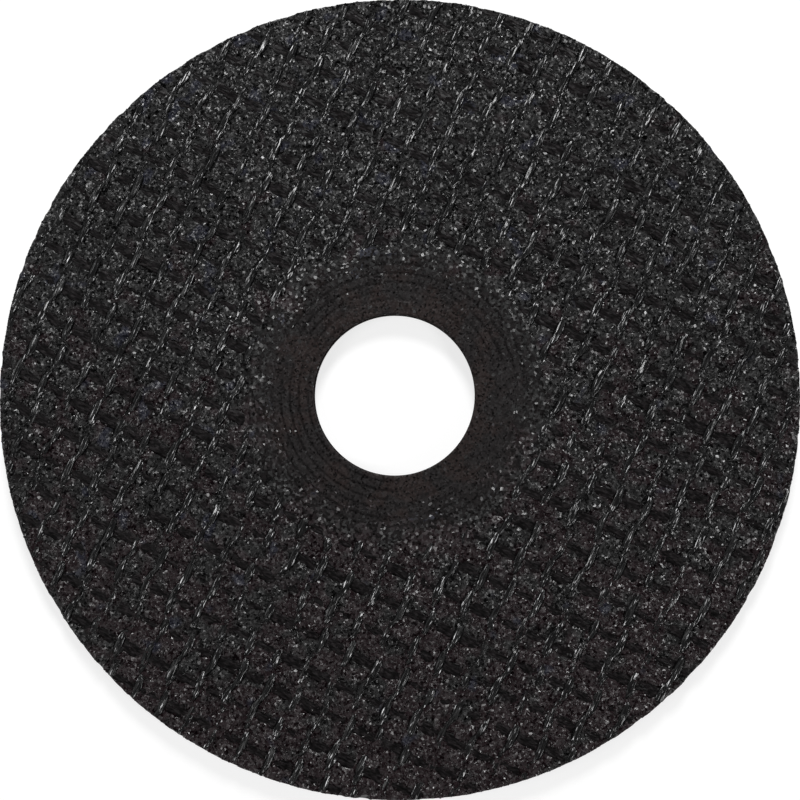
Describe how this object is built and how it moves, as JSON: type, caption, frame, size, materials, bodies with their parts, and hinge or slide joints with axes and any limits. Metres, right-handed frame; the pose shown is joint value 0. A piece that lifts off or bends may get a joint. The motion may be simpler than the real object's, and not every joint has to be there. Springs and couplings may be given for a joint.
{
  "type": "cut off wheel",
  "caption": "Flat black resin-bonded cut off wheel with woven glass net faces, a smooth pressed hub and a plain round arbor hole.",
  "frame": {"origin": "on the wheel's axle, at the back face that it lies on", "axes": "+Z along the axle, out of the front face; +Y up the front face as the picture shows it"},
  "size_m": [0.11, 0.11, 0.0025],
  "materials": {
    "abrasive": "rough black abrasive grain in resin with a woven glass net, slightly glossy on the net strands"
  },
  "bodies": {
    "root": {"wheel": "abrasive"}
  },
  "joints": []
}
